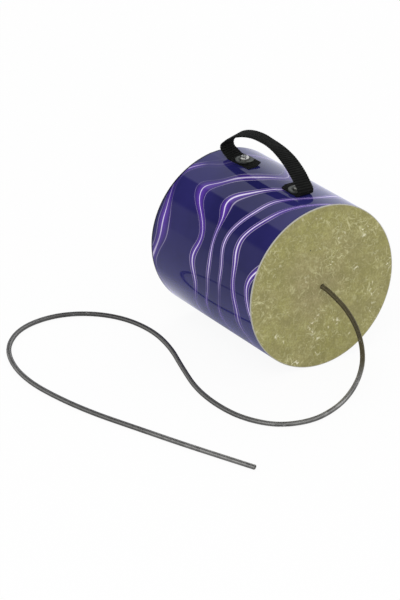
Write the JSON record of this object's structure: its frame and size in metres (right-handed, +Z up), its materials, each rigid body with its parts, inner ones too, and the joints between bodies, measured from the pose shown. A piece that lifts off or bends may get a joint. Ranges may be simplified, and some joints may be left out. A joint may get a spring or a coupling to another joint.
{
  "type": "thunder tube",
  "caption": "Open-backed tube drum with a webbing handle and a long close-wound spring hanging from the middle of its head; shaken, the spring makes a thunder sound.",
  "frame": {"origin": "under the middle of the drum, on the table it lies on; the spring isn't counted", "axes": "+Z up through the handle, +Y along the drum's axis towards its open back, head facing -Y"},
  "size_m": [0.3119, 0.3435, 0.1847],
  "materials": {
    "fibre_tube": "matte brown fibre board",
    "printed_wrap": "glossy laminated print, indigo with pale flowing ribbons",
    "head_fibre": "matte olive fibre sheet with pale fibres",
    "anchor_board": "hard fibre board",
    "spring_steel": "dark close-wound wire",
    "strap_webbing": "black ribbed webbing",
    "screw_steel": "bright plated steel",
    "washer_steel": "dull plated steel"
  },
  "bodies": {
    "drum": {"shell_tube": "fibre_tube", "shell_wrap": "printed_wrap", "drum_head": "head_fibre", "spring_anchor_disc": "anchor_board", "spring_root": "spring_steel", "strap_front_foot": "strap_webbing", "strap_rear_foot": "strap_webbing", "handle_screw_front": "screw_steel", "handle_screw_rear": "screw_steel", "spring_anchor_screw": "screw_steel", "handle_washer_front": "washer_steel", "handle_washer_rear": "washer_steel", "inner_washer_front": "washer_steel", "inner_washer_rear": "washer_steel", "handle_nut_front": "washer_steel", "handle_nut_rear": "washer_steel"},
    "handle": {"strap_arch": "strap_webbing"},
    "spring": {"spring": "spring_steel"}
  },
  "joints": [
    {"name": "handle_swing", "type": "hinge", "parent": "drum", "child": "handle", "pos_m": [0, 0, 0.15915], "axis": [0, 1, 0], "range_deg": [-30, 30], "stiffness_Nm_per_rad": 0.03},
    {"name": "spring_swing", "type": "hinge", "parent": "drum", "child": "spring", "pos_m": [0, -0.0832, 0.0762], "axis": [0, 0, 1], "range_deg": [-20, 45]}
  ]
}
